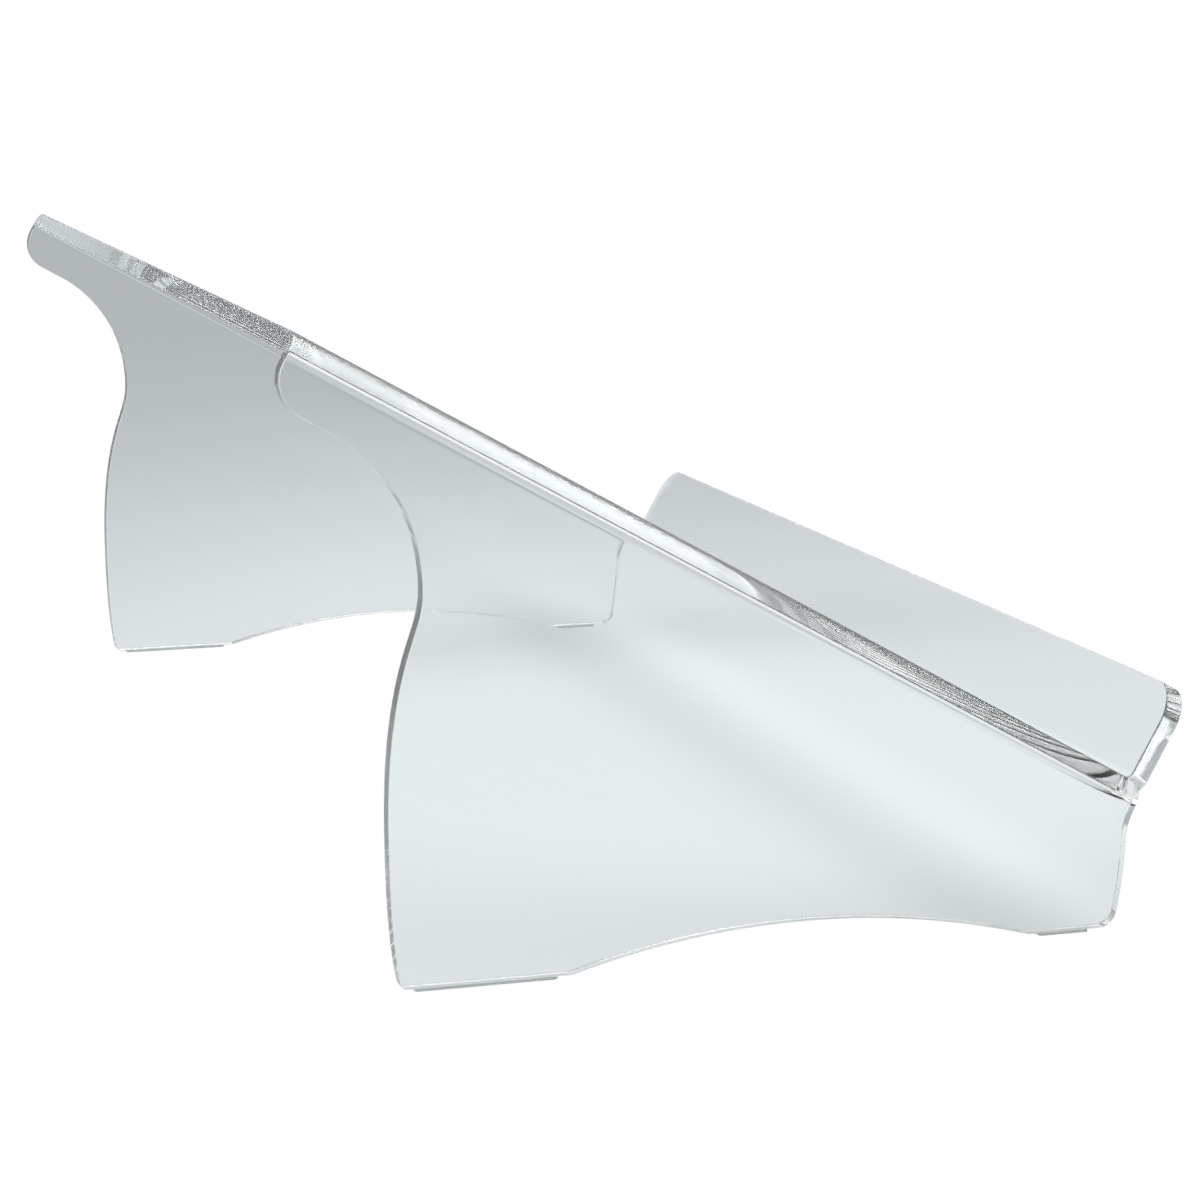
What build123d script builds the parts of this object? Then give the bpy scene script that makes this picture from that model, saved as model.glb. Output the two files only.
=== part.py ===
"""A desk stand formed from one clear sheet: a sloping platform, two side legs and a front lip.

The blank is cut flat, then bent three times: both sides go down to make the legs, and the front
goes up to make the lip. The stand rests on four anti-slip strips stuck under the feet.

Frame: origin at the bottom centre of the stand, +X to the reader's right, +Y to the back and
+Z up. The reader sits on the -Y side, and the platform rises towards the back.
"""

import os
from math import cos, radians, sin

from build123d import *

os.makedirs("parts", exist_ok=True)

# ---- driving dimensions, in millimetres and degrees

width = 515.0  # over the outer faces of the two legs
sheet = 6.0  # thickness of the sheet
bend_inside = 2.0  # inner radius of every bend

slope = 29.3  # platform to desk, in degrees
platform_length = 300.0  # back edge to the lip's outer face, along the slope
front_height = 40.0  # desk to the platform's top face, where the slope ends at the front

lip_height = 31.0  # above the platform's top face
lip_corner = 12.0  # radius of the lip's two top corners
relief = 5.0  # width of the slot that parts a leg's bend from the lip's bend
relief_reach = 3.5  # how far the slot runs back past the start of the lip's bend
bend_setback = 7.0  # from the lip's outer face back to the front ends of the side bends

shoulder_depth = 19.7  # below the platform's top face, where the leg starts at the back
shoulder_length = 20.0  # along the slope, before the leg starts to turn down
shoulder_corner = 11.0  # radius of the shoulder's rear corner

# The rear edge of a leg, from the shoulder down to the heel: each inset is how far that place
# stands forward of the heel, and each drop is measured down from the top of the back edge.
heel_setback = 26.5  # from the back edge forward to the heel
throat_drop = 48.8
throat_inset = 2.0
neck_drop = 72.8
neck_inset = 7.2
calf_drop = 88.8
calf_inset = 3.3
belly_height = 35.0  # above the desk
belly_outset = 3.1  # back from the heel

rear_foot = 50.0  # length of the rear foot
front_foot = 28.0  # length of the front foot, with its rounded toe
front_turn = 12.0  # below the platform's top face, where a leg's front edge turns down
toe_setback = 3.6  # from that turn back to the toe
arch_rise = 11.0  # height of the arch between the feet, above the desk
toe_corner = 6.0  # radius of the toe
toe_bulge = 0.8  # how far the leg's front edge bows forward
edge_blend = 20.0  # radius that blends that edge into the end of the side bend
foot_blend = 2.0  # radius of the small corners at the heel and at the ends of the arch

pad_thickness = 1.0  # anti-slip strip
pad_margin = 0.5  # from the strip's sides to the faces of the sheet
pad_end_margin = 2.0  # from the strip's ends to the ends of the flat of the foot
pad_corner = 1.0  # radius of the strip's corners

# ---- sizes that follow from them

bend_outside = bend_inside + sheet
flat_half = width / 2 - bend_outside  # half of the platform's flat, between the side bends
lip_half = flat_half - relief
lip_bend_start = platform_length - bend_outside  # along the slope
side_bend_end = platform_length - bend_setback

run = cos(radians(slope))
rise = sin(radians(slope))
back_height = front_height + platform_length * rise
front_reach = platform_length * run + lip_height * rise  # back edge to the front of the lip
rear_reach = (shoulder_depth - shoulder_corner) * rise + shoulder_corner * (1 - run)
back_y = (front_reach - rear_reach) / 2  # the back edge, when the stand is centred on the origin


def on_slope(along, above):
    """Side-view point (Y, Z): along the slope from the back edge, and square off the top face."""
    return (back_y - along * run - above * rise, back_height - along * rise + above * run)


def corner_at(sketch, place):
    """The sketch's vertex nearest to a side-view point."""
    return sketch.vertices().sort_by_distance((place[0], place[1], 0))[0]


# The places that give a leg its outline, in the side view.
shoulder = on_slope(shoulder_length, -shoulder_depth)
shoulder_rear = on_slope(0, -shoulder_depth)
back_top = on_slope(0, 0)
front_top = on_slope(side_bend_end, 0)
front_bottom = on_slope(side_bend_end, -front_turn)
heel = (back_y - heel_setback, pad_thickness)
toe = (front_bottom[0] + toe_setback, pad_thickness)
arch_rear = (heel[0] - rear_foot, pad_thickness)
arch_front = (toe[0] + front_foot, pad_thickness)
arch_top = ((arch_rear[0] + arch_front[0]) / 2, arch_rise)
belly = (heel[0] + belly_outset, belly_height)
calf = (heel[0] - calf_inset, back_height - calf_drop)
neck = (heel[0] - neck_inset, back_height - neck_drop)
throat = (heel[0] - throat_inset, back_height - throat_drop)
shin = ((front_bottom[0] + toe[0]) / 2 - toe_bulge, (front_bottom[1] + toe[1]) / 2)

# The section stands square to the slope at the back edge and faces down it: its x is +X, and its
# y is square off the platform's top face. The deck is the top face itself, with y up the slope.
back_edge = (0, back_y, back_height)
section = Plane(origin=back_edge, x_dir=(1, 0, 0), z_dir=(0, -run, -rise))
deck = Plane(origin=back_edge, x_dir=(1, 0, 0), z_dir=(0, -rise, run))
down_slope = Axis(back_edge, (0, -run, -rise))

# ---- the lip and its bend, up from the front end of the platform

with BuildPart() as lip:
    with BuildSketch(Plane.YZ) as lip_section:
        with BuildLine():
            root_top = on_slope(lip_bend_start, 0)
            root_bottom = on_slope(lip_bend_start, -sheet)
            bend_outer = on_slope(platform_length, bend_inside)
            bend_inner = on_slope(platform_length - sheet, bend_inside)
            lip_outer = on_slope(platform_length, lip_height)
            lip_inner = on_slope(platform_length - sheet, lip_height)
            Line(root_top, root_bottom)
            TangentArc(root_bottom, bend_outer, tangent=(-run, -rise))
            Polyline(bend_outer, lip_outer, lip_inner, bend_inner)
            TangentArc(root_top, bend_inner, tangent=(-run, -rise))
        make_face()
    extrude(amount=lip_half, both=True)
    fillet(lip.edges().filter_by(down_slope), lip_corner)

# ---- the formed sheet: platform, side bends and legs, with the lip on its front end

with BuildPart() as formed_sheet:
    # The flat, both side bends and both legs run straight down the slope.
    with BuildSketch(section) as channel:
        Rectangle(width, back_height, align=(Align.CENTER, Align.MAX))
        fillet(channel.vertices().group_by(Axis.Y)[-1], bend_outside)
        with BuildSketch(mode=Mode.PRIVATE) as hollow:
            with Locations((0, -sheet)):
                Rectangle(width - 2 * sheet, back_height, align=(Align.CENTER, Align.MAX))
            fillet(hollow.vertices().group_by(Axis.Y)[-1], bend_inside)
        add(hollow.sketch, mode=Mode.SUBTRACT)
    extrude(amount=platform_length + back_height)

    # Seen from the side, the sheet is cut to the platform's edge and the outline of a leg.
    with BuildSketch(Plane.YZ) as side_view:
        with BuildLine():
            Polyline(shoulder, shoulder_rear, back_top, front_top, front_bottom)
            ThreePointArc(front_bottom, shin, toe)
            Line(toe, arch_front)
            ThreePointArc(arch_front, arch_top, arch_rear)
            Line(arch_rear, heel)
            Spline(heel, belly, calf, neck, tangents=((1, 5), (0, 1)))
            Spline(neck, throat, shoulder, tangents=((0, 1), (run, rise)))
        make_face()
        fillet(corner_at(side_view, shoulder_rear), shoulder_corner)
        fillet(corner_at(side_view, front_bottom), edge_blend)
        fillet(corner_at(side_view, toe), toe_corner)
        for small_corner in (arch_front, arch_rear, heel):
            fillet(corner_at(side_view, small_corner), foot_blend)
    extrude(amount=width / 2, both=True, mode=Mode.INTERSECT)

    # The flat stops where the lip starts to bend, with a round-ended slot beside each side bend.
    with BuildSketch(section.offset(lip_bend_start)) as lip_room:
        Rectangle(2 * flat_half, 2 * bend_outside)
    extrude(amount=bend_outside, mode=Mode.SUBTRACT)
    with BuildSketch(deck) as slots:
        slot_x = flat_half - relief / 2
        with Locations((-slot_x, -lip_bend_start), (slot_x, -lip_bend_start)):
            SlotOverall(2 * relief_reach, relief, rotation=90)
    extrude(amount=-sheet, mode=Mode.SUBTRACT)
    add(lip.part)

formed_sheet.part.label = "formed_sheet"
export_step(formed_sheet.part, "parts/formed_sheet.step")

# ---- the anti-slip strips, one under the flat of each foot

leg_x = (width - sheet) / 2  # middle of a leg's thickness
flats = {
    "rear": (heel[0] - foot_blend, arch_rear[0] + foot_blend),
    "front": (arch_front[0] - foot_blend, toe[0] + toe_corner),
}
for side, x in (("left", -leg_x), ("right", leg_x)):
    for end, (flat_back, flat_front) in flats.items():
        with BuildPart() as pad:
            with BuildSketch(Plane.XY) as strip:
                with Locations((x, (flat_back + flat_front) / 2)):
                    RectangleRounded(
                        sheet - 2 * pad_margin, flat_back - flat_front - 2 * pad_end_margin, pad_corner
                    )
            extrude(amount=pad_thickness)
        pad.part.label = f"foot_pad_{end}_{side}"
        export_step(pad.part, f"parts/foot_pad_{end}_{side}.step")

box = formed_sheet.part.bounding_box()
print(f"stand {box.size.X:.1f} x {box.size.Y:.1f} x {box.max.Z:.1f} mm")
print(f"front at {box.min.Y:.2f}, back at {box.max.Y:.2f}")
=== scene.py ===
# %% [markdown]
# A clear desk stand, made in Blender around its CAD model
#
# The stand is one sheet of clear acrylic, cut flat and bent three times over a hot wire. Clear
# plastic has almost no colour of its own, so nearly all that the eye sees is light from somewhere
# else, bent by the curves and edges. This lesson therefore spends its effort on three things: a
# sheet with true bends and polished edges, an acrylic that refracts as acrylic does, and a studio
# with something in it to refract. The CAD model comes first, because every piece has to sit on it.

from math import atan, cos, degrees, pi, radians, sin

import bmesh
import bpy
import numpy as np
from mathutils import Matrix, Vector


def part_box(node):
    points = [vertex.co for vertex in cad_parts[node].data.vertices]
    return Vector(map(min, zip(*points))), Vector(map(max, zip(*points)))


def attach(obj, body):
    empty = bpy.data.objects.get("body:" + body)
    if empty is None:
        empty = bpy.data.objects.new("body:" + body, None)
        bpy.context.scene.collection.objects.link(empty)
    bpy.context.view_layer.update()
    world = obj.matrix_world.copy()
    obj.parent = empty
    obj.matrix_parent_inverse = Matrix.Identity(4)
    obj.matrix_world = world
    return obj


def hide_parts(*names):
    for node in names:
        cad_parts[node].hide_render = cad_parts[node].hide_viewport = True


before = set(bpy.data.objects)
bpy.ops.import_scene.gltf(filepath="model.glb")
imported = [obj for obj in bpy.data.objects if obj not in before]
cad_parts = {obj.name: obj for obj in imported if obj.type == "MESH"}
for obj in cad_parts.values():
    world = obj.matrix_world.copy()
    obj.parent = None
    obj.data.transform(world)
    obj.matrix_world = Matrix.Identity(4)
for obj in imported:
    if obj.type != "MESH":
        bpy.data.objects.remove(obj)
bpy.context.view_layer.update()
print("CAD nodes:", sorted(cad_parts))

# %% [markdown]
# The camera
#
# A long lens from a few paces away keeps the stand's edges nearly parallel. The camera stands to
# the left of the stand, a little above the platform's middle, so the platform is seen almost edge
# on. Blender aims a camera down its own -Z axis, and to_track_quat turns a direction into that aim.

# %% Camera
camera_place = Vector((-1.13193, 0.31962, 0.27801))
camera_pan = radians(-17.088)
camera_tilt = radians(-10.436)
lens_mm = 99.58
sensor_mm = 36.0

camera_data = bpy.data.cameras.new("camera")
camera_data.sensor_width = sensor_mm
camera_data.lens = lens_mm
camera = bpy.data.objects.new("camera", camera_data)
bpy.context.scene.collection.objects.link(camera)
level = cos(camera_tilt)
aim = Vector((level * cos(camera_pan), level * sin(camera_pan), sin(camera_tilt)))
camera.location = camera_place
camera.rotation_mode = "QUATERNION"
camera.rotation_quaternion = aim.to_track_quat("-Z", "Y")
bpy.context.scene.camera = camera
print("camera sees", round(degrees(2 * atan(sensor_mm / 2 / lens_mm)), 1), "degrees across")

# %% [markdown]
# Helpers for colour and nodes
#
# Blender's sockets want linear light, while colours are usually written as sRGB hex, so one function
# turns the one into the other. A second one adds a node to any tree, sets its settings, and
# links or fills its inputs: a value that is a socket is linked, and any other value is typed in.

# %% Colour and node helpers
MM = 0.001


def linear(hex_colour):
    """An sRGB colour such as #F0F4F2 as linear RGBA."""
    parts = [int(hex_colour[i : i + 2], 16) / 255 for i in (1, 3, 5)]
    return tuple(c / 12.92 if c <= 0.04045 else ((c + 0.055) / 1.055) ** 2.4 for c in parts) + (1.0,)


def add_node(tree, kind, inputs=None, **settings):
    """Adds one node. inputs holds values or sockets, by the socket's name or number."""
    node = tree.nodes.new(kind)
    for name, value in settings.items():
        setattr(node, name, value)
    for name, value in (inputs or {}).items():
        if isinstance(value, bpy.types.NodeSocket):
            tree.links.new(value, node.inputs[name])
        else:
            node.inputs[name].default_value = value
    return node


print("pale grey #E4E9EA in linear light:", [round(v, 3) for v in linear("#E4E9EA")])

# %% [markdown]
# The flat blank
#
# A maker cuts this stand from flat sheet before any bend is made, so the script does too. The
# drawing is half of the blank, from the middle of the back edge round to the middle of the lip,
# and the other half mirrors it. Across is measured from the middle and down from the back edge,
# in millimetres. A leg is drawn upright, in the side view in which it is easy to judge, and then
# laid flat beside the platform. The sizes are the CAD model's own.

# %% Sizes of the stand
sheet = 6.0
bend_inside = 2.0
bend_middle = bend_inside + sheet / 2
bend_length = bend_middle * pi / 2  # sheet used up by a right-angle bend, along its middle
bend_outside = bend_inside + sheet
slope = radians(29.3)
run, rise = cos(slope), sin(slope)

low, high = (Vector(corner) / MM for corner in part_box("formed_sheet"))
flat_half = high.x - bend_outside
slot_width, slot_reach = 5.0, 3.5
lip_half = flat_half - slot_width
platform_length = 300.0
lip_bend_start = platform_length - bend_outside
side_bend_end = platform_length - 7.0  # the side bends stop a little behind the lip
lip_height = 31.0
lip_corner_radius = 12.0
front_height = 40.0
front_reach = platform_length * run + lip_height * rise
back_y = low.y + front_reach
back_height = front_height + platform_length * rise
foot = low.z
print("platform", round(2 * flat_half, 1), "mm between its bends")
print("back edge at", round(back_y, 2), round(back_height, 2))


# %% Curves and rounded corners for the drawing
def on_slope(along, above):
    """Side-view point, along the slope from the back edge and square off the top face."""
    return np.array((back_y - along * run - above * rise, back_height - along * rise + above * run))


def smooth_line(points, start, end, step=1.2):
    """Points along the cubic that runs smoothly through the given ones, with its end directions."""
    points = np.array(points, float)
    gaps = np.linalg.norm(np.diff(points, axis=0), axis=1)
    count = len(points)
    matrix, right = np.eye(count), np.zeros((count, 2))
    right[0], right[-1] = np.array(start) / np.hypot(*start), np.array(end) / np.hypot(*end)
    for i in range(1, count - 1):
        before, after = gaps[i - 1], gaps[i]
        matrix[i, i - 1 : i + 2] = after, 2 * (before + after), before
        step_in, step_out = points[i] - points[i - 1], points[i + 1] - points[i]
        right[i] = 3 * (after * step_in / before + before * step_out / after)
    headings = np.linalg.solve(matrix, right)
    line = [points[0]]
    for i, gap in enumerate(gaps):
        for t in np.linspace(0, 1, max(2, int(gap / step)) + 1)[1:]:
            a, b = (1 + 2 * t) * (1 - t) ** 2, t * (1 - t) ** 2
            c, d = t * t * (3 - 2 * t), t * t * (t - 1)
            leaving = a * points[i] + b * gap * headings[i]
            line.append(leaving + c * points[i + 1] + d * gap * headings[i + 1])
    return line


def arc_through(start, middle, end, step=1.2):
    """Points along the circle from start through middle to end."""
    (ax, ay), (bx, by), (cx, cy) = start, middle, end
    turn = 2 * (ax * (by - cy) + bx * (cy - ay) + cx * (ay - by))
    a, b, c = ax * ax + ay * ay, bx * bx + by * by, cx * cx + cy * cy
    centre_x = (a * (by - cy) + b * (cy - ay) + c * (ay - by)) / turn
    centre_y = (a * (cx - bx) + b * (ax - cx) + c * (bx - ax)) / turn
    centre = np.array((centre_x, centre_y))
    radius = np.hypot(*(np.array(start) - centre))
    angles = [np.arctan2(p[1] - centre[1], p[0] - centre[0]) for p in (start, middle, end)]
    for i in (1, 2):
        angles[i] = angles[0] + (angles[i] - angles[0] + pi) % (2 * pi) - pi
    count = max(3, int(radius * abs(angles[2] - angles[0]) / step))
    sweep = np.linspace(angles[0], angles[2], count + 1)
    return [centre + radius * np.array((cos(t), sin(t))) for t in sweep]


def cut_line(line, length):
    """The line without its first stretch of that length."""
    line = [np.array(p, float) for p in line]
    while len(line) > 2 and np.hypot(*(line[1] - line[0])) <= length:
        length -= np.hypot(*(line[1] - line[0]))
        line = line[1:]
    direction = (line[1] - line[0]) / np.hypot(*(line[1] - line[0]))
    return [line[0] + direction * length] + line[1:]


def rounded(before, after, radius, pieces=10):
    """Joins two lines that meet at a corner, with the corner rounded to a radius."""
    before, after = [np.array(p, float) for p in before], [np.array(p, float) for p in after]
    corner = after[0]
    trim = radius
    for _ in range(3):  # the lines may curve, so the angle is measured again where the arc ends
        back, on = cut_line(before[::-1], trim), cut_line(after, trim)
        u, v = back[0] - corner, on[0] - corner
        half = np.arccos(np.clip(u @ v / (np.hypot(*u) * np.hypot(*v)), -1, 1)) / 2
        trim = radius / np.tan(half)
    back, on = cut_line(before[::-1], trim), cut_line(after, trim)
    p, q = back[0], on[0]
    bow = []
    for t in np.linspace(0, 1, pieces + 1)[1:-1]:
        weight = (1 - t) ** 2 + 2 * t * (1 - t) * np.sin(half) + t * t
        bow.append(((1 - t) ** 2 * p + 2 * t * (1 - t) * np.sin(half) * corner + t * t * q) / weight)
    return back[::-1] + bow + on


print("the slope ends", on_slope(platform_length, 0).round(2), "mm from the middle and the desk")

# %% The outline of a leg, upright in the side view
shoulder_depth, shoulder_length, shoulder_corner = 19.7, 20.0, 11.0
rear_foot, front_foot, arch_rise = 50.0, 28.0, 11.0
foot_blend, toe_corner, edge_blend = 2.0, 6.0, 20.0
heel_setback, toe_setback, toe_bulge, front_turn = 26.5, 3.6, 0.8, 12.0

shoulder = on_slope(shoulder_length, -shoulder_depth)
shoulder_rear = on_slope(0, -shoulder_depth)
front_bottom = on_slope(side_bend_end, -front_turn)
heel = np.array((back_y - heel_setback, foot))
toe = np.array((front_bottom[0] + toe_setback, foot))
arch_rear, arch_front = heel - (rear_foot, 0), toe + (front_foot, 0)
arch_top = np.array(((arch_rear[0] + arch_front[0]) / 2, arch_rise))
shin = (front_bottom + toe) / 2 - (toe_bulge, 0)
rear_points = {
    # name: (how far behind the heel, how high above the desk)
    "belly": (3.1, 35.0),
    "calf": (-3.3, back_height - 88.8),
    "neck": (-7.2, back_height - 72.8),
    "throat": (-2.0, back_height - 48.8),
}
belly, calf, neck, throat = (np.array((heel[0] + behind, up)) for behind, up in rear_points.values())

rear_edge = smooth_line([heel, belly, calf, neck], (1, 5), (0, 1))
rear_edge += smooth_line([neck, throat, shoulder], (0, 1), (run, rise))[1:]
leg = rounded([on_slope(0, 0), shoulder_rear], [shoulder_rear, shoulder], shoulder_corner, 16)
leg = leg[:-1] + rear_edge[::-1]
for next_line, radius, pieces in (
    ([heel, arch_rear], foot_blend, 6),
    (arc_through(arch_rear, arch_top, arch_front), foot_blend, 5),
    ([arch_front, toe], foot_blend, 5),
    (arc_through(toe, shin, front_bottom), toe_corner, 10),
    ([front_bottom, on_slope(side_bend_end, 0)], edge_blend, 8),
):
    leg = rounded(leg, next_line, radius, pieces)
print("leg outline:", len(leg), "points")


# %% Lay the leg beside the platform, and add the slot and the lip
def laid_flat(point):
    """Where a side-view point of the leg lies on the flat blank: (across, down)."""
    back, drop = back_y - point[0], back_height - point[1]
    along, below = back * run + drop * rise, drop * run - back * rise
    return np.array((flat_half + bend_length + below - bend_outside, along))


back_edge_step = 25.0
slot_corner_radius = 0.8
half_blank = [np.array((x, 0.0)) for x in np.arange(0.0, flat_half, back_edge_step)]
half_blank += [laid_flat(p) for p in leg[1:-1]]
slot_radius = slot_width / 2
slot_end = lip_bend_start - slot_reach + slot_radius
slot_outer, slot_inner = np.array((flat_half, slot_end)), np.array((lip_half, slot_end))
slot_corner = np.array((flat_half, side_bend_end))
half_blank = rounded(half_blank + [slot_corner], [slot_corner, slot_outer], slot_corner_radius, 5)
slot_top = slot_inner + (slot_radius, -slot_radius)
half_blank += arc_through(slot_outer, slot_top, slot_inner, 0.5)[1:]
lip_top = lip_bend_start + bend_length + lip_height - bend_inside
lip_corner, lip_middle = np.array((lip_half, lip_top)), np.array((0.0, lip_top))
half_blank = rounded(half_blank + [lip_corner], [lip_corner, lip_middle], lip_corner_radius, 16)
blank_outline = half_blank + [p * (-1, 1) for p in half_blank[-2:0:-1]]
widest = 2 * max(p[0] for p in blank_outline)
print("blank:", len(blank_outline), "points,", round(widest, 1), "mm wide before bending")

# %% [markdown]
# From the drawing to a sheet
#
# The outline is filled as one face and cut across with fine lines wherever a bend will come, since
# only a cut face can curve. The face is then given its thickness, and its rim is rounded a little,
# as the edges of acrylic are after they are scraped and polished with a flame or a diamond.

# %% The sheet, still flat
bend_cuts = 28
edge_round = 0.45  # radius of the polished edges
hair = 0.002  # keeps the first cut off the wall of the slot, which lies in the same line
on_cut = 1e-7  # metres; a vertex this near to a cut counts as being on it

blank = bmesh.new()
rim = [blank.verts.new((x * MM, -down * MM, 0)) for x, down in blank_outline]
blank.faces.new(rim)
for i in range(bend_cuts + 1):
    into_bend = bend_length * i / bend_cuts
    for side in (-1, 1):
        parts = blank.verts[:] + blank.edges[:] + blank.faces[:]
        place = (side * (flat_half + hair + into_bend) * MM, 0, 0)
        bmesh.ops.bisect_plane(blank, geom=parts, plane_co=place, plane_no=(1, 0, 0), dist=on_cut)
tongue_half = (flat_half + 2 * hair) * MM  # the lip's cuts stop here, so the legs stay whole
for i in range(bend_cuts + 1):
    tongue = [f for f in blank.faces if max(abs(v.co.x) for v in f.verts) < tongue_half]
    parts = {e for f in tongue for e in f.edges} | {v for f in tongue for v in f.verts} | set(tongue)
    place = (0, -(lip_bend_start + bend_length * i / bend_cuts) * MM, 0)
    bmesh.ops.bisect_plane(blank, geom=list(parts), plane_co=place, plane_no=(0, 1, 0), dist=on_cut)
bmesh.ops.recalc_face_normals(blank, faces=blank.faces)
if sum(f.normal.z * f.calc_area() for f in blank.faces) < 0:
    bmesh.ops.reverse_faces(blank, faces=blank.faces)
under = bmesh.ops.extrude_face_region(blank, geom=blank.faces[:], use_keep_orig=True)
under_verts = [g for g in under["geom"] if isinstance(g, bmesh.types.BMVert)]
bmesh.ops.translate(blank, verts=under_verts, vec=(0, 0, -sheet * MM))
bmesh.ops.recalc_face_normals(blank, faces=blank.faces)
sharp = radians(80)
corners = [e for e in blank.edges if e.is_manifold and abs(e.calc_face_angle()) > sharp]
bmesh.ops.bevel(blank, geom=corners, offset=edge_round * MM, segments=4, profile=0.5, affect="EDGES")
for face in blank.faces:
    face.smooth = True
blank_mesh = bpy.data.meshes.new("blank")
blank.to_mesh(blank_mesh)
loose = sum(1 for e in blank.edges if not e.is_manifold)
print("flat sheet:", len(blank_mesh.polygons), "faces,", loose, "open edges")
print("volume:", round(blank.calc_volume() * 1e6, 1), "cm3")
blank.free()

# %% [markdown]
# The hot-wire bends, as a rule
#
# Bending a sheet is a rule that can be written down. Within a bend, a point turns about the bend's
# centre by an angle that grows with how far in it lies, at a radius set by its depth in the sheet.
# Past the bend it carries straight on, square to where it was going. Geometry Nodes suits a shape
# that follows such a rule: the table below is the rule, one Math node to a row, and the sizes are
# inputs that can be changed on the modifier.

# %% The bending tree
bending = bpy.data.node_groups.new("hot wire bends", "GeometryNodeTree")
socket_types = {
    "Geometry": "NodeSocketGeometry",
    "Sheet thickness": "NodeSocketFloat",
    "Bend radius": "NodeSocketFloat",
    "Half flat": "NodeSocketFloat",
    "Half lip": "NodeSocketFloat",
    "Lip start": "NodeSocketFloat",
    "Slope": "NodeSocketFloat",
    "Back edge": "NodeSocketVector",
    "Material": "NodeSocketMaterial",
}
for name, kind in socket_types.items():
    bending.interface.new_socket(name, in_out="INPUT", socket_type=kind)
bending.interface.new_socket("Geometry", in_out="OUTPUT", socket_type="NodeSocketGeometry")

sizes = add_node(bending, "NodeGroupInput")
flat_place = add_node(bending, "GeometryNodeInputPosition")
split = add_node(bending, "ShaderNodeSeparateXYZ", {0: flat_place.outputs[0]})
terms = {
    "x": split.outputs[0], "y": split.outputs[1], "depth": split.outputs[2],
    "thickness": sizes.outputs["Sheet thickness"], "radius": sizes.outputs["Bend radius"],
    "half flat": sizes.outputs["Half flat"], "half lip": sizes.outputs["Half lip"],
    "lip start": sizes.outputs["Lip start"],
}  # fmt: skip
rule = {
    "half sheet": ("MULTIPLY", "thickness", 0.5),
    "outside": ("ADD", "radius", "half sheet"),
    "inside": ("SUBTRACT", "radius", "half sheet"),
    "down from top": ("MULTIPLY", "outside", -1.0),
    "bend length": ("MULTIPLY", "radius", pi / 2),
    # a side bend goes down, about a centre below the sheet
    "across": ("ABSOLUTE", "x"),
    "side": ("SIGN", "x"),
    "past flat": ("SUBTRACT", "across", "half flat"),
    "side reach": ("MAXIMUM", "past flat", 0.0),
    "side bent": ("MINIMUM", "side reach", "bend length"),
    "side straight": ("SUBTRACT", "side reach", "side bent"),
    "side angle": ("DIVIDE", "side bent", "radius"),
    "side radius": ("ADD", "outside", "depth"),
    "side sine": ("SINE", "side angle"),
    "side cosine": ("COSINE", "side angle"),
    "side out": ("MULTIPLY", "side sine", "side radius"),
    "side up": ("MULTIPLY_ADD", "side cosine", "side radius", "down from top"),
    "side level": ("SUBTRACT", "side up", "side straight"),
    "on flat": ("SUBTRACT", "across", "side reach"),
    "bent across": ("ADD", "on flat", "side out"),
    "new x": ("MULTIPLY", "bent across", "side"),
    # the lip's bend goes up, about a centre above the sheet, and only between the side bends
    "down": ("MULTIPLY", "y", -1.0),
    "slot": ("ADD", "half flat", "half lip"),
    "slot middle": ("MULTIPLY", "slot", 0.5),
    "between": ("LESS_THAN", "across", "slot middle"),
    "past lip": ("SUBTRACT", "down", "lip start"),
    "past lip start": ("MAXIMUM", "past lip", 0.0),
    "lip reach": ("MULTIPLY", "past lip start", "between"),
    "lip bent": ("MINIMUM", "lip reach", "bend length"),
    "lip straight": ("SUBTRACT", "lip reach", "lip bent"),
    "lip angle": ("DIVIDE", "lip bent", "radius"),
    "lip radius": ("SUBTRACT", "inside", "depth"),
    "lip sine": ("SINE", "lip angle"),
    "lip cosine": ("COSINE", "lip angle"),
    "lip out": ("MULTIPLY", "lip sine", "lip radius"),
    "lip fall": ("MULTIPLY", "lip cosine", "lip radius"),
    "lip rise": ("SUBTRACT", "lip radius", "lip fall"),
    "lip level": ("ADD", "lip rise", "lip straight"),
    "before lip": ("SUBTRACT", "down", "lip reach"),
    "bent down": ("ADD", "before lip", "lip out"),
    "new y": ("MULTIPLY", "bent down", -1.0),
    "new z": ("ADD", "side level", "lip level"),
}
for name, (operation, *values) in rule.items():
    filled = {i: terms[v] if isinstance(v, str) else v for i, v in enumerate(values)}
    row = add_node(bending, "ShaderNodeMath", filled, operation=operation, label=name)
    terms[name] = row.outputs[0]
new_place = {0: terms["new x"], 1: terms["new y"], 2: terms["new z"]}
bent = add_node(bending, "ShaderNodeCombineXYZ", new_place)
tilted = add_node(
    bending, "ShaderNodeVectorRotate",
    {"Vector": bent.outputs[0], "Angle": sizes.outputs["Slope"]}, rotation_type="X_AXIS",
)  # fmt: skip
stood = add_node(
    bending, "ShaderNodeVectorMath",
    {0: tilted.outputs[0], 1: sizes.outputs["Back edge"]}, operation="ADD",
)  # fmt: skip
shaped = add_node(
    bending, "GeometryNodeSetPosition",
    {"Geometry": sizes.outputs["Geometry"], "Position": stood.outputs[0]},
)  # fmt: skip
real = add_node(bending, "GeometryNodeRealizeInstances", {"Geometry": shaped.outputs[0]})
coated = add_node(
    bending, "GeometryNodeSetMaterial",
    {"Geometry": real.outputs[0], "Material": sizes.outputs["Material"]},
)  # fmt: skip
add_node(bending, "NodeGroupOutput", {"Geometry": coated.outputs[0]})
print("bending tree:", len(bending.nodes), "nodes")

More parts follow.
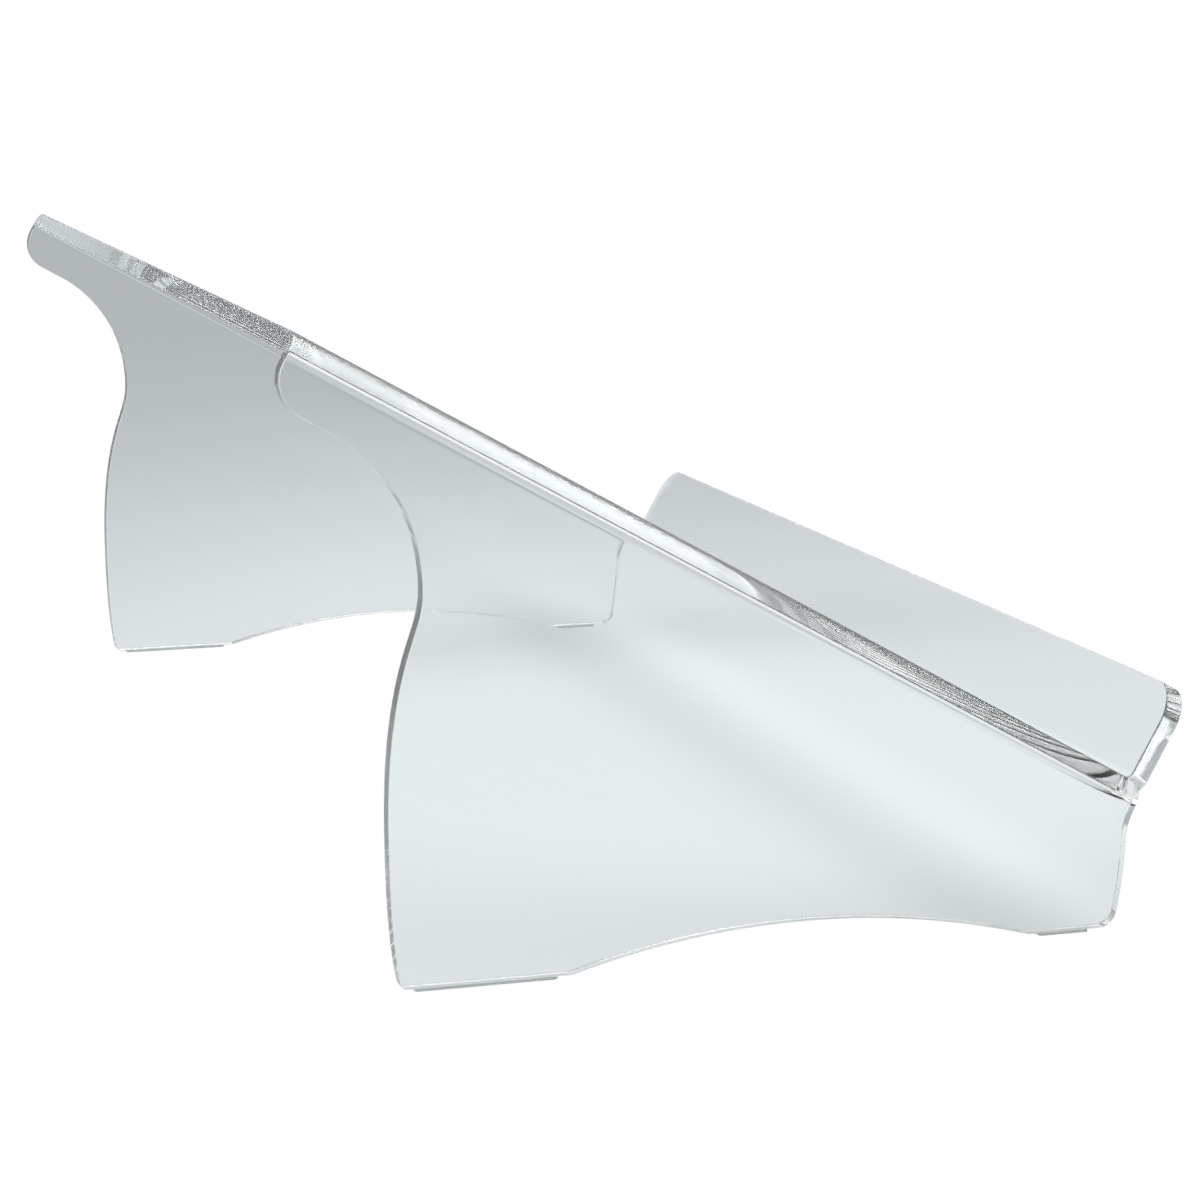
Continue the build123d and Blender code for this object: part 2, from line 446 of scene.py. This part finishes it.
# %% [markdown]
# Cast acrylic
#
# Acrylic is polymethyl methacrylate, the clearest of the common plastics. Its refractive index of
# 1.49 makes the edges flash and the bends act as lenses, and its surface has a glassy polish. In
# thin sheet it looks colourless, but light that runs inside it to an edge comes out faintly
# blue-green, so that colour is put in the volume. The skin is as smooth as glass, so its roughness
# is zero. Wiping leaves one or two per cent of haze, in faint streaks along the slope, and the
# heat of bending leaves a slow ripple. The haze hardly shows on a face, but it greys the light that
# is reflected inside the sheet many times before it comes out at an edge.

# %% Acrylic
def empty_tree(owner):
    """The node tree of a material or world, with nothing in it."""
    owner.use_nodes = True
    owner.node_tree.nodes.clear()
    return owner.node_tree


# Noise scales count waves in a metre: hairlines are 0.8 mm apart, smears 70 mm and ripples 45 mm.
hairline_scale, smear_scale, ripple_scale = 1200.0, 14.0, 22.0
clearest, haziest = 0.995, 0.98
acrylic = bpy.data.materials.new("clear_cast_acrylic")
tree = empty_tree(acrylic)
place = add_node(tree, "ShaderNodeTexCoord")
along_slope = add_node(tree, "ShaderNodeMapping", {
    "Vector": place.outputs["Object"], "Rotation": (-slope, 0, 0),
})  # fmt: skip
streaks = add_node(tree, "ShaderNodeMapping", {
    "Vector": along_slope.outputs[0], "Scale": (1, 0.03, 1), "Rotation": (0, 0, radians(17)),
})  # fmt: skip
wiping = add_node(tree, "ShaderNodeTexNoise", {
    "Vector": streaks.outputs[0], "Scale": hairline_scale, "Detail": 3.0,
})  # fmt: skip
smears = add_node(tree, "ShaderNodeTexNoise", {
    "Vector": along_slope.outputs[0], "Scale": smear_scale, "Detail": 4.0,
})  # fmt: skip
wiped = add_node(
    tree, "ShaderNodeMath", {0: wiping.outputs[0], 1: smears.outputs[0]}, operation="MULTIPLY"
)
clear = add_node(tree, "ShaderNodeMapRange", {
    "Value": wiped.outputs[0], "From Min": 0.1, "From Max": 0.5,
    "To Min": clearest, "To Max": haziest,
})  # fmt: skip
ripple = add_node(tree, "ShaderNodeTexNoise", {
    "Vector": along_slope.outputs[0], "Scale": ripple_scale, "Detail": 1.0,
})  # fmt: skip
bump = add_node(tree, "ShaderNodeBump", {
    "Strength": 0.01, "Distance": 0.0006, "Height": ripple.outputs[0],
})  # fmt: skip
skin = add_node(tree, "ShaderNodeBsdfPrincipled", {
    "Base Color": linear("#FDFEFE"), "Transmission Weight": clear.outputs[0], "IOR": 1.49,
    "Roughness": 0.0, "Normal": bump.outputs[0],
})  # fmt: skip
body = add_node(tree, "ShaderNodeVolumeAbsorption", {"Color": linear("#ECF0F0"), "Density": 0.8})
add_node(tree, "ShaderNodeOutputMaterial", {"Surface": skin.outputs[0], "Volume": body.outputs[0]})
print("acrylic:", len(tree.nodes), "nodes")

# %% Bend the sheet
def fill_inputs(modifier, values):
    """Sets a Geometry Nodes modifier's inputs, with each socket's identifier found by its name."""
    for item in modifier.node_group.interface.items_tree:
        if item.in_out == "INPUT" and item.name in values:
            modifier[item.identifier] = values[item.name]


def make_plain(thing, name):
    """Replaces an object's mesh with what its modifiers make of it, and removes them."""
    graph = bpy.context.evaluated_depsgraph_get()
    mesh = bpy.data.meshes.new_from_object(thing.evaluated_get(graph), depsgraph=graph)
    mesh.name = name
    thing.modifiers.clear()
    thing.data = mesh
    return mesh


formed = bpy.data.objects.new("bent_sheet", blank_mesh)
bpy.context.scene.collection.objects.link(formed)
bends = formed.modifiers.new("hot wire bends", "NODES")
bends.node_group = bending
fill_inputs(bends, {
    "Sheet thickness": sheet * MM,
    "Bend radius": bend_middle * MM,
    "Half flat": flat_half * MM,
    "Half lip": lip_half * MM,
    "Lip start": lip_bend_start * MM,
    "Slope": slope,
    "Back edge": (0, back_y * MM, back_height * MM),
    "Material": acrylic,
})  # fmt: skip
even = formed.modifiers.new("even normals", "WEIGHTED_NORMAL")
even.weight = 100  # the flats decide the normals, so they shade quite flat
bent_mesh = make_plain(formed, "bent_sheet")
points = np.array([v.co for v in bent_mesh.vertices]) / MM
print("bent sheet lies", [round(v, 2) for v in (*points.min(0), *points.max(0))], "mm")
print("CAD sheet lies ", [round(v, 2) for v in (*low, *high)], "mm")
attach(formed, "root")
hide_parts("formed_sheet")

# %% [markdown]
# Anti-slip strips
#
# Under each foot is a strip of clear silicone, a millimetre thick. It has the softer, milky look of
# rubber against the hard gloss of the sheet. Four strips of two lengths are a repeat, so one small
# tree makes a strip from its length and width, and each one takes its place from the CAD node.

# %% Silicone
grain_scale = 2500.0  # waves in a metre, so a grain is 0.4 mm across
silicone = bpy.data.materials.new("clear_silicone_rubber")
tree = empty_tree(silicone)
place = add_node(tree, "ShaderNodeTexCoord")
grain = add_node(tree, "ShaderNodeTexNoise", {
    "Vector": place.outputs["Object"], "Scale": grain_scale, "Detail": 3.0,
})  # fmt: skip
satin = add_node(tree, "ShaderNodeMapRange", {"Value": grain.outputs[0], "To Min": 0.25, "To Max": 0.5})
bump = add_node(tree, "ShaderNodeBump", {
    "Strength": 0.3, "Distance": 0.0001, "Height": grain.outputs[0],
})  # fmt: skip
skin = add_node(tree, "ShaderNodeBsdfPrincipled", {
    "Base Color": linear("#EDF1EF"), "Transmission Weight": 0.8, "IOR": 1.41,
    "Roughness": satin.outputs[0], "Normal": bump.outputs[0],
})  # fmt: skip
add_node(tree, "ShaderNodeOutputMaterial", {"Surface": skin.outputs[0]})
print("silicone:", len(tree.nodes), "nodes")

# %% The strip tree
strip_tree = bpy.data.node_groups.new("anti-slip strip", "GeometryNodeTree")
socket_types = {
    "Geometry": "NodeSocketGeometry",
    "Width": "NodeSocketFloat",
    "Length": "NodeSocketFloat",
    "Thickness": "NodeSocketFloat",
    "Corner radius": "NodeSocketFloat",
    "Centre": "NodeSocketVector",
    "Material": "NodeSocketMaterial",
}
for name, kind in socket_types.items():
    strip_tree.interface.new_socket(name, in_out="INPUT", socket_type=kind)
strip_tree.interface.new_socket("Geometry", in_out="OUTPUT", socket_type="NodeSocketGeometry")
wanted = add_node(strip_tree, "NodeGroupInput").outputs
outline = add_node(
    strip_tree, "GeometryNodeCurvePrimitiveQuadrilateral",
    {"Width": wanted["Width"], "Height": wanted["Length"]},
)  # fmt: skip
corner = add_node(
    strip_tree, "GeometryNodeFilletCurve",
    {"Curve": outline.outputs[0], "Count": 6, "Radius": wanted["Corner radius"]}, mode="POLY",
)  # fmt: skip
filled = add_node(strip_tree, "GeometryNodeFillCurve", {"Curve": corner.outputs[0]}, mode="NGONS")
thick = add_node(
    strip_tree, "GeometryNodeExtrudeMesh",
    {"Mesh": filled.outputs[0], "Offset Scale": wanted["Thickness"], "Individual": False},
)  # fmt: skip
flipped = add_node(strip_tree, "GeometryNodeFlipFaces", {"Mesh": filled.outputs[0]})
joined = add_node(strip_tree, "GeometryNodeJoinGeometry")
weld = 1e-6  # metres
for part in (flipped, thick):
    strip_tree.links.new(part.outputs[0], joined.inputs[0])
merged = add_node(
    strip_tree, "GeometryNodeMergeByDistance", {"Geometry": joined.outputs[0], "Distance": weld}
)
placed = add_node(
    strip_tree, "GeometryNodeTransform",
    {"Geometry": merged.outputs[0], "Translation": wanted["Centre"]},
)  # fmt: skip
real = add_node(strip_tree, "GeometryNodeRealizeInstances", {"Geometry": placed.outputs[0]})
coated = add_node(
    strip_tree, "GeometryNodeSetMaterial", {"Geometry": real.outputs[0], "Material": wanted["Material"]}
)
add_node(strip_tree, "NodeGroupOutput", {"Geometry": coated.outputs[0]})
print("strip tree:", len(strip_tree.nodes), "nodes")

# %% Four strips, each in its CAD node's place
strip_corner, strip_softening = 1.0, 0.2  # radii of the outline's corners and of the edges
for node in sorted(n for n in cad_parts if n.startswith("foot_pad")):
    near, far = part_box(node)
    strip = bpy.data.objects.new(node.replace("foot_pad", "strip"), bpy.data.meshes.new("strip"))
    bpy.context.scene.collection.objects.link(strip)
    shape = strip.modifiers.new("anti-slip strip", "NODES")
    shape.node_group = strip_tree
    fill_inputs(shape, {
        "Width": far.x - near.x, "Length": far.y - near.y, "Thickness": far.z - near.z,
        "Centre": ((near.x + far.x) / 2, (near.y + far.y) / 2, near.z),
        "Corner radius": strip_corner * MM,
        "Material": silicone,
    })  # fmt: skip
    soften = strip.modifiers.new("soft edges", "BEVEL")
    soften.width, soften.segments, soften.limit_method = strip_softening * MM, 3, "ANGLE"
    mesh = make_plain(strip, strip.name)
    mesh.materials.pop(index=0)  # the outline's own empty slot
    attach(strip, "root")
    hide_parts(node)
    print(strip.name, len(mesh.polygons), "faces")

# %% [markdown]
# The studio
#
# Clear plastic needs something to show. It is usually shown cut out: all round it is plain white,
# but inside its outline the grey of the studio still shows through. The Light Path node does the
# same here. Rays that come straight from the camera see white, and rays that have gone through or
# off the acrylic see the studio: a pale floor with painted shade that fades it to grey with
# distance, with a painted line of light and painted shadows under the stand, and a grey room with a
# soft light overhead. Rays that have run along inside the sheet, bouncing many times, see the floor
# painted brighter, a painted highlight in the sheet's edges and bends. Some of them bounce almost a
# hundred times, so the limits on bounces are raised, and the denoiser looks at colour alone,
# because clear plastic gives it nothing else to go by.

# %% Floor
floor_mesh = bpy.data.meshes.new("floor")
reach = 12.0
floor_corners = [(-reach, -reach, 0), (reach, -reach, 0), (reach, reach, 0), (-reach, reach, 0)]
floor_mesh.from_pydata(floor_corners, [], [(0, 1, 2, 3)])
floor = bpy.data.objects.new("floor", floor_mesh)
bpy.context.scene.collection.objects.link(floor)
floor.location.z = -0.0002  # metres, clear of the undersides of the strips
paper = bpy.data.materials.new("studio_paper")
tree = empty_tree(paper)
place = add_node(tree, "ShaderNodeTexCoord").outputs["Object"]
across, back = add_node(tree, "ShaderNodeSeparateXYZ", {0: place}).outputs[:2]

# Painted shade: the paper grows darker with distance, and faster behind a line 0.1 m in front of the
# origin.
line_ahead, extra_share = 0.1, 0.8
ramp_reach = 2.0  # metres from the stand at the end of the colour ramp
distance = add_node(tree, "ShaderNodeVectorMath", {0: place}, operation="LENGTH")
past_line = add_node(tree, "ShaderNodeMath", {0: back, 1: line_ahead}, operation="ADD")
behind = add_node(tree, "ShaderNodeMath", {0: past_line.outputs[0], 1: 0.0}, operation="MAXIMUM")
away = add_node(
    tree, "ShaderNodeMath",
    {0: behind.outputs[0], 1: extra_share, 2: distance.outputs["Value"]}, operation="MULTIPLY_ADD",
).outputs[0]  # fmt: skip
share = add_node(tree, "ShaderNodeMath", {0: away, 1: ramp_reach}, operation="DIVIDE")
fade = add_node(tree, "ShaderNodeValToRGB", {0: share.outputs[0]})
painted_falloff_tones = {
    0.10: "#E9EFEF", 0.165: "#E4E9EA", 0.223: "#DEE3E6", 0.323: "#D0D5D8",
    0.39: "#C8CDD0", 0.475: "#C0C4C7", 0.58: "#B8BCBF", 0.80: "#B3B7B9",
}  # fmt: skip
stops = fade.color_ramp.elements
stops[0].position, stops[1].position = min(painted_falloff_tones), max(painted_falloff_tones)
for position in list(painted_falloff_tones)[1:-1]:
    stops.new(position)
for stop, hex_colour in zip(stops, painted_falloff_tones.values()):
    stop.color = linear(hex_colour)

# Painted light and shade under the stand: a painted line of light where the front bend would throw one,
# a painted soft shadow behind it, and a painted shadow under each leg.
painted_floor_marks = {
    # name: (across or back, middle, width, strength)
    "line of light": (back, -0.118, 0.016, 0.07),
    "shadow behind it": (back, -0.078, 0.022, -0.10),
    "painted shadow of left leg": (across, -0.25, 0.075, -0.13),
    "painted shadow of right leg": (across, 0.25, 0.075, -0.13),
}
# Each mark is a bell curve across its line, and all of them die away outside the stand.
marks_fade, marks_gone = 0.28, 0.42
shade = 0.0
for axis, middle, width, strength in painted_floor_marks.values():
    bell = axis
    for operation, *value in (
        ("SUBTRACT", middle), ("DIVIDE", width), ("POWER", 2.0), ("MULTIPLY", -1.0), ("EXPONENT",),
    ):  # fmt: skip
        step = dict(enumerate([bell, *value]))
        bell = add_node(tree, "ShaderNodeMath", step, operation=operation).outputs[0]
    mark = add_node(tree, "ShaderNodeMath", {0: bell, 1: strength, 2: shade}, operation="MULTIPLY_ADD")
    shade = mark.outputs[0]
inside = add_node(tree, "ShaderNodeMapRange", {
    "Value": away, "From Min": marks_fade, "From Max": marks_gone, "To Min": 1.0, "To Max": 0.0,
})  # fmt: skip
shade = add_node(
    tree, "ShaderNodeMath", {0: shade, 1: inside.outputs[0], 2: 1.0}, operation="MULTIPLY_ADD"
)

# Painted highlight: rays that have bounced many times inside the sheet see the paper brighter and
# whiter, in place of light from the brightest, nearest part of the sweep. From the first guided
# bounce to the last, the painted brightening grows.
first_guided, last_guided, painted_glow_gain = 8.0, 24.0, 0.35
path = add_node(tree, "ShaderNodeLightPath")
guided = add_node(tree, "ShaderNodeMapRange", {
    "Value": path.outputs["Ray Depth"], "From Min": first_guided, "From Max": last_guided,
    "To Min": 0.0, "To Max": 1.0,
}).outputs[0]  # fmt: skip
painted_glow_strength = add_node(
    tree, "ShaderNodeMath", {0: guided, 1: painted_glow_gain, 2: shade.outputs[0]}, operation="MULTIPLY_ADD"
)
tone = add_node(
    tree, "ShaderNodeMix",
    {"Factor": guided, 6: fade.outputs[0], 7: linear("#F4F7F7")}, data_type="RGBA",
)  # fmt: skip
glow = add_node(tree, "ShaderNodeEmission", {"Color": tone.outputs[2], "Strength": painted_glow_strength.outputs[0]})
plain = add_node(tree, "ShaderNodeEmission", {"Color": linear("#FFFFFF")})
cut_out = add_node(
    tree, "ShaderNodeMixShader",
    {0: path.outputs["Is Camera Ray"], 1: glow.outputs[0], 2: plain.outputs[0]},
)  # fmt: skip
add_node(tree, "ShaderNodeOutputMaterial", {"Surface": cut_out.outputs[0]})
floor_mesh.materials.append(paper)
print("paper:", len(tree.nodes), "nodes")

# %% Room
world = bpy.data.worlds.new("studio")
bpy.context.scene.world = world
tree = empty_tree(world)
direction = add_node(tree, "ShaderNodeTexCoord")
height = add_node(tree, "ShaderNodeSeparateXYZ", {0: direction.outputs["Generated"]})
walls = add_node(tree, "ShaderNodeValToRGB", {0: height.outputs[2]})
wall_tones = {0.0: "#A9AEB0", 0.25: "#B4B9BB", 0.45: "#F2F4F4", 1.0: "#FFFFFF"}
stops = walls.color_ramp.elements
for position in list(wall_tones)[1:-1]:
    stops.new(position)
for stop, hex_colour in zip(stops, wall_tones.values()):
    stop.color = linear(hex_colour)
room = add_node(tree, "ShaderNodeBackground", {"Color": walls.outputs[0]})
white = add_node(tree, "ShaderNodeBackground", {"Color": linear("#FFFFFF")})
path = add_node(tree, "ShaderNodeLightPath")
seen = add_node(
    tree, "ShaderNodeMixShader",
    {0: path.outputs["Is Camera Ray"], 1: room.outputs[0], 2: white.outputs[0]},
)  # fmt: skip
add_node(tree, "ShaderNodeOutputWorld", {"Surface": seen.outputs[0]})
bpy.context.scene.view_settings.view_transform = "Standard"
cycles = bpy.context.scene.cycles
most_bounces = 96
cycles.max_bounces = cycles.transmission_bounces = cycles.glossy_bounces = most_bounces
cycles.denoising_input_passes = "RGB"
print("room: walls fade from grey at the floor to white overhead")

# %% Soft light
light = bpy.data.lights.new("overhead softbox", "AREA")
light.shape, light.size, light.size_y = "RECTANGLE", 1.6, 1.0
light.energy = 6.0  # watts
lamp = bpy.data.objects.new("overhead softbox", light)
bpy.context.scene.collection.objects.link(lamp)
lamp.location = (-0.3, 0.4, 1.9)
lamp.rotation_mode = "QUATERNION"
lamp.rotation_quaternion = (-lamp.location).to_track_quat("-Z", "Y")  # aimed at the stand
lamp.visible_camera = False
print(lamp.name, "at", [round(v, 2) for v in lamp.location])
